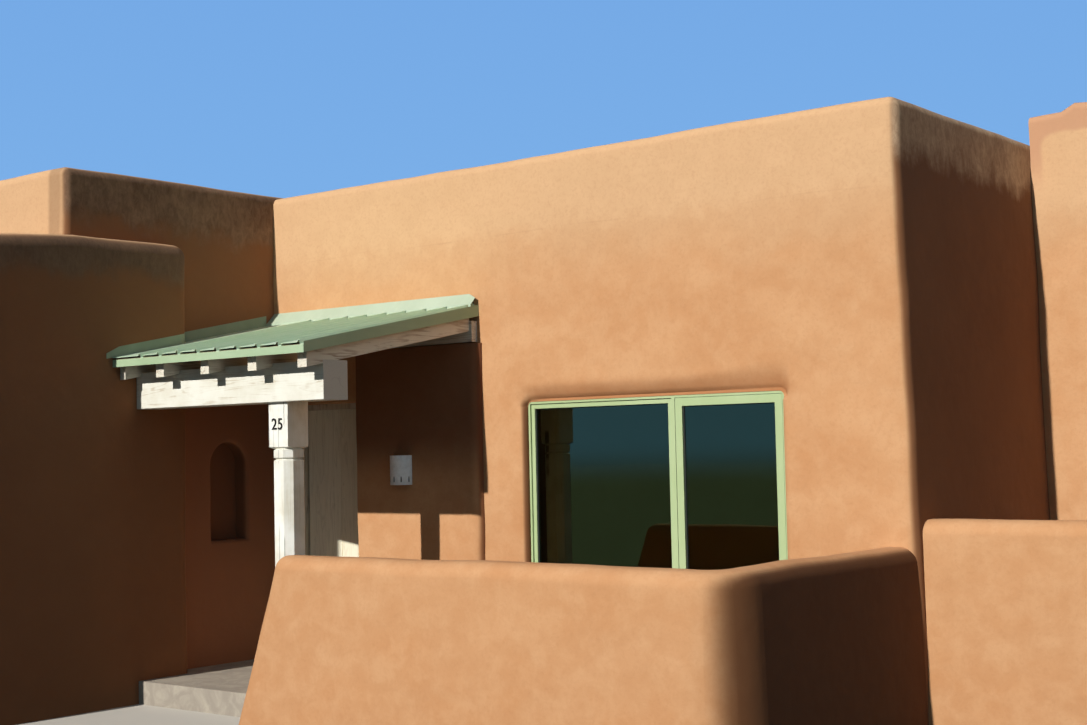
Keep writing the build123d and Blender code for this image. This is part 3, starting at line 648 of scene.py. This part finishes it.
dress(enamel("roof enamel", "BDD4B4", "CBDBC1"), "metal_roof")
dress(enamel("trim enamel", "A0B690", "B3C6A6", streak=(0.3, 0.3, 1)), "eave_trim")
dress(enamel("verge enamel", "92AF8E", "A4BD9C", streak=(0.3, 0.05, 1)), "verge_trim")
dress(enamel("flashing enamel", "A9B8A0", "BAC8B2", streak=(1, 0.3, 0.1)), "wall_flashing")
dress(enamel("side flashing enamel", "7C8A6E", "93A083", streak=(1, 0.3, 0.1)), "side_flashing")
window_enamel = enamel("window enamel", "A6B886", "B2C194", roughness=0.38)
dress(window_enamel, "window_frame", "fixed_light", "casement")

# %% [markdown]
# Window glass is clear, with a thin metal coat that keeps the heat out. The coat makes the
# pane mirror more than plain glass does, and takes the blue out of what it mirrors, so the
# sky in it looks teal. The panes really let light through. A faint film of dust roughens them.

# %% Glass
glass = Shader(
    "coated glass",
    Transmission_Weight=1.0,
    IOR=1.8,
    Base_Color=rgba("5E7068"),
    Specular_Tint=(0.85, 1.0, 0.6, 1),
)
film = glass.noise(3, 4, 0.6, stretch=(1, 1, 0.4))
glass.set("Roughness", glass.fade(film, 0.5, 0.9) * 0.04)
dress(glass, "window_glass")

# %% [markdown]
# Each pane is held by a black rubber gasket, and just inside it the grey spacer bar of the
# double glazing shows as a pale line. Both are thin rings: a rectangle, inset, with its middle
# taken out and the rest given thickness.

# %% Gaskets and spacers
def ring(name, shader, low, high, y, width, thickness):
    """A flat ring upright in the wall's plane, from its outer corners (x, z)."""
    bm = bmesh.new()
    bmesh.ops.create_grid(bm, x_segments=1, y_segments=1, size=0.5)
    bmesh.ops.scale(bm, vec=(high[0] - low[0], high[1] - low[1], 1), verts=bm.verts)
    bmesh.ops.rotate(bm, matrix=Matrix.Rotation(math.pi / 2, 3, "X"), verts=bm.verts)
    middle = ((low[0] + high[0]) / 2, y, (low[1] + high[1]) / 2)
    bmesh.ops.translate(bm, vec=middle, verts=bm.verts)
    bmesh.ops.inset_region(
        bm, faces=bm.faces[:], thickness=width, use_even_offset=True, use_boundary=True
    )
    inner = min(bm.faces, key=lambda f: (f.calc_center_median() - Vector(middle)).length)
    bmesh.ops.delete(bm, geom=[inner], context="FACES_ONLY")
    bmesh.ops.solidify(bm, geom=bm.faces[:], thickness=thickness)
    bmesh.ops.recalc_face_normals(bm, faces=bm.faces)
    mesh = bpy.data.meshes.new(name)
    bm.to_mesh(mesh)
    bm.free()
    piece = add_object(name, mesh)
    mesh.materials.append(shader.material)
    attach(piece, "house")
    return piece


rubber = Shader("black rubber", Roughness=0.7)
rubber_dust = rubber.noise(40, 4, 0.6)
rubber_shade = rubber.mix(rubber.fade(rubber_dust, 0.5, 0.8), rgba("1E1F1D"), rgba("3A3A36"))
rubber.set("Base Color", rubber_shade)
rubber.bump(rubber_dust, 0.2, 0.0005)
spacer_bar = Shader("spacer bar", Metallic=0.6, Roughness=0.5)
bar_dots = spacer_bar.noise(160, 2, 0.5)
spacer_bar.set("Base Color", spacer_bar.mix(bar_dots, rgba("8C918A"), rgba("B7BBB2")))

# Each pane's visible corners (x, z), and the place of its front face.
sight = {
    "fixed": ((-0.190, 0.840), (1.055, 2.252), -1.1615),
    "casement": ((1.182, 0.865), (1.952, 2.227), -1.1665),
}
for light, (low, high, pane_y) in sight.items():
    ring(light + "_gasket", rubber, low, high, pane_y - 0.0032, width=0.007, thickness=0.003)
    ring(light + "_spacer", spacer_bar, low, high, pane_y + 0.0075, width=0.014, thickness=0.004)
print("gaskets and spacers round", len(sight), "panes")

# %% [markdown]
# The lamp is a half-round shell of clay, painted with a flat white that has gone slightly grey
# outside. Its inside is painted dark as painted shade, and dark patches over the slots at its
# foot are painted shade as well. Iron fittings are waxed black, brighter where hands rub them.

# %% Lamp, iron and floors
clay = Shader("white clay", Roughness=0.8)
clay_mottle = clay.noise(30, 4, 0.6)
clay_pores = clay.noise(260, 3, 0.6)
clay_shade = clay.mix(clay.fade(clay_mottle, 0.4, 0.7), rgba("F9FAF9"), rgba("EBECEA"))
clay_foot = clay.fade(clay.axis("Z") + (clay_mottle - 0.5) * 0.06, 1.74, 1.68)
clay_shade = clay.mix(clay_foot * 0.25, clay_shade, rgba("B5ADA2"))
lamp_low, lamp_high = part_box("lamp")
slot_count = 5
from_axis_x = clay.axis("X") - (lamp_low.x + lamp_high.x) / 2
from_axis_y = clay.axis("Y") - lamp_high.y
lamp_radius = (lamp_high.x - lamp_low.x) / 2
# Painted shade: the inside of the shell is painted dark.
lamp_painted_inner_shade = clay.fade(
    from_axis_x * from_axis_x + from_axis_y * from_axis_y,
    (lamp_radius - 0.0006) ** 2,
    (lamp_radius - 0.0016) ** 2,
)
# Painted shade: dark patches at the slots, where the openings lie in shade.
turn = clay.calculate("ARCTAN2", from_axis_x, from_axis_y * -1)
from_slot = abs((turn / (math.pi / slot_count) + 5.5) % 1 - 0.5)
above_foot = clay.axis("Z") - lamp_low.z
slot_painted_shade = clay.fade(above_foot, 0.02, 0.027) * clay.fade(above_foot, 0.075, 0.058)
slot_painted_shade = slot_painted_shade * clay.fade(from_slot, 0.11, 0.05)
clay_shade = clay.mix(slot_painted_shade * 0.85, clay_shade, rgba("4A443E"))
clay.set("Base Color", clay.mix(lamp_painted_inner_shade, clay_shade, rgba("2B2622")))
clay.bump(clay_mottle * 0.5 + clay_pores * 0.15, 0.4, 0.003)
dress(clay, "lamp")

iron = Shader("waxed iron", Metallic=0.9)
scale_marks = iron.noise(70, 4, 0.6)
iron_shade = iron.mix(iron.fade(scale_marks, 0.4, 0.7), rgba("2A2725"), rgba("4B4540"))
iron.set("Base Color", iron_shade)
iron.set("Roughness", 0.35 + scale_marks * 0.3)
iron.bump(scale_marks, 0.3, 0.0008)
dress(iron, "frame_hinges", "leaf_hinges", "door_handle")

screed = Shader("trowelled screed", Roughness=0.7)
trowel_arcs = screed.noise(5, 4, 0.6, warp=1.5)
screed_sand = screed.noise(180, 3, 0.6)
screed_shade = screed.mix(screed.fade(trowel_arcs, 0.35, 0.7), rgba("9C9183"), rgba("B3A897"))
screed.set("Base Color", screed.mix(screed_sand * 0.3, screed_shade, rgba("7D7367")))
screed.set("Roughness", 0.6 + trowel_arcs * 0.3)
screed.bump(trowel_arcs * 0.4 + screed_sand * 0.1, 0.4, 0.006)
dress(screed, "left_floor", "main_floor", "right_floor", "porch_floor")

# %% [markdown]
# Behind the parapets lies mineral felt, laid in rolls a metre wide. Each lap is a thin dark
# step, and the grit has washed into pale drifts.

# %% Roof felt
roll_width = 0.95
felt = Shader("mineral felt", Roughness=0.95)
across_roll = felt.axis("Y") % roll_width
half_roll = roll_width / 2
lap = felt.fade(abs(across_roll - half_roll), half_roll - 0.012, half_roll - 0.004)
drift = felt.noise(0.9, 5, 0.6)
grit = felt.noise(220, 3, 0.7)
felt_shade = felt.mix(felt.fade(drift, 0.4, 0.7), rgba("8E857A"), rgba("A99F92"))
felt_shade = felt.mix(felt.fade(grit, 0.5, 0.7) * 0.5, felt_shade, rgba("6E665D"))
felt.set("Base Color", felt.mix(lap * 0.7, felt_shade, rgba("4A433C")))
felt.bump(grit * 0.3 + across_roll * 0.6, 0.6, 0.005)
dress(felt, "left_roof", "main_roof", "right_roof", "store_roof")

# %% [markdown]
# The post's block carries the house number in wrought-iron digits. They are text first: a
# font curve, given a little depth and a fine bevel. The text becomes a mesh before it is stood
# up against the block, so its object can stay at the origin like every other piece.

# %% House number
text = bpy.data.curves.new("digits", "FONT")
text.body = "25"
text.size = 0.118
text.extrude = 0.0022
text.bevel_depth = 0.0008
text.align_x, text.align_y = "CENTER", "CENTER"
text.space_character = 1.08
draft = add_object("digits draft", text)
bpy.context.view_layer.update()
digit_mesh = bpy.data.meshes.new_from_object(draft)
bpy.data.objects.remove(draft)
post_low, post_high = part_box("porch_post")
digit_mesh.transform(
    Matrix.Translation(((post_low.x + post_high.x) / 2 - 0.008, post_low.y - 0.003, 2.158))
    @ Matrix.Rotation(math.pi / 2, 4, "X")
)
digits = add_object("house_number", digit_mesh)
digit_mesh.materials.clear()
digit_mesh.materials.append(iron.material)
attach(digits, "house")
print("house number:", len(digit_mesh.polygons), "faces, on the block of the post")

# %% [markdown]
# The sheet is held down by screws with a hexagonal head and a rubber-backed washer, in rows
# over the rafters' battens. One screw is two short cones, and the rest are copies of it in the
# same mesh, each tipped to the slope of the roof.

# %% Roof screws
# The radius at the foot and at the top, the height, how high the middle lies, and the sides.
washer = (0.009, 0.0075, 0.002, 0.001, 12)
head = (0.0055, 0.005, 0.005, 0.004, 6)


def roof_screw(bm, place, slope):
    stand = Matrix.Translation(place) @ Matrix.Rotation(math.atan(slope), 4, "X")
    for foot, tip, depth, lift, sides in (washer, head):
        bmesh.ops.create_cone(
            bm,
            cap_ends=True,
            segments=sides,
            radius1=foot,
            radius2=tip,
            depth=depth,
            matrix=stand @ Matrix.Translation((0, 0, lift)),
        )


roof_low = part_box("metal_roof")[0]
sheet_rise, sheet_run = 0.366, 1.886
roof_slope = sheet_rise / sheet_run
verge_x, first_rib, rib_pitch, beside_rib = -0.686, 0.05, 0.224, 0.045
rib_count = 9
bm = bmesh.new()
for row_y in (-3.06, -2.25, -1.44):
    for rib in range(rib_count):
        screw_x = verge_x - first_rib - rib_pitch * rib - beside_rib
        pan_top = roof_low.z + (row_y - roof_low.y) * roof_slope + 0.020
        roof_screw(bm, (screw_x, row_y, pan_top), roof_slope)
screw_mesh = bpy.data.meshes.new("roof_screws")
bm.to_mesh(screw_mesh)
bm.free()
screws = add_object("roof_screws", screw_mesh)
screw_mesh.materials.append(spacer_bar.material)
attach(screws, "house")
print("roof screws:", len(screw_mesh.polygons), "faces")

# %% [markdown]
# Late sun comes in almost straight at the front, a little from the left and low, which puts
# every side that faces right in shade and draws the eave's long shadow over the entry. The
# shade is deep, so the world gives only a little light, and a weak, wide, bluish lamp stands
# in for the open sky on the right. The backdrop is a plain blue dome, which shows behind the
# house and in the panes, but lights nothing else. Its lower half is a dull green, so that the
# panes mirror dark open ground under the sky, and the pale floor is kept out of reflections.

# %% Light, floor and backdrop
def distant_light(name, strength, spread, tint, travels):
    """Light from one side. The spread is its angle in degrees, and travels is its direction."""
    data = bpy.data.lights.new(name, "SUN")
    data.energy = strength
    data.angle = math.radians(spread)
    data.color = tint
    light = add_object(name, data)
    light.rotation_euler = Vector(travels).to_track_quat("-Z", "Y").to_euler()


distant_light("sun", 4.5, 0.6, (1.0, 0.975, 0.93), (0.035, 1, -0.5565))
distant_light("sky fill", 0.31, 70, (0.55, 0.85, 1.0), (-1, 0.5, -0.45))

world = bpy.data.worlds.new("soft light")
world.use_nodes = True
soft_light = world.node_tree.nodes["Background"]
soft_light.inputs["Color"].default_value = (0.85, 0.97, 1.0, 1)
soft_light.inputs["Strength"].default_value = 0.07
scene = bpy.context.scene
scene.world = world
scene.view_settings.view_transform = "Standard"
scene.view_settings.look = "None"


def stage_piece(name, shader, make):
    """A piece that isn't part of the house, and throws no light back on it."""
    bm = bmesh.new()
    make(bm)
    mesh = bpy.data.meshes.new(name)
    bm.to_mesh(mesh)
    bm.free()
    mesh.materials.append(shader.material)
    piece = add_object(name, mesh)
    piece.visible_diffuse = False
    return piece


floor = stage_piece(
    "floor",
    Shader("pale floor", Roughness=0.9, Base_Color=rgba("C4BEB4")),
    lambda bm: bmesh.ops.create_circle(bm, cap_ends=True, segments=96, radius=199),
)
floor.visible_glossy = False
blue = Shader("blue backdrop", Base_Color=(0, 0, 0, 1), Roughness=1.0, Specular_IOR_Level=0.0)
dome_height = blue.axis("Z")
sky_shade = blue.mix(blue.fade(dome_height, 5, 90), rgba("7FB3EA"), rgba("72A6E4"))
blue.set("Emission Color", blue.mix(blue.fade(dome_height, -3, 3), rgba("6E775C"), sky_shade))
blue.surface.inputs["Emission Strength"].default_value = 1.0
backdrop = stage_piece(
    "backdrop",
    blue,
    lambda bm: bmesh.ops.create_uvsphere(bm, u_segments=48, v_segments=24, radius=200),
)
backdrop.visible_shadow = False
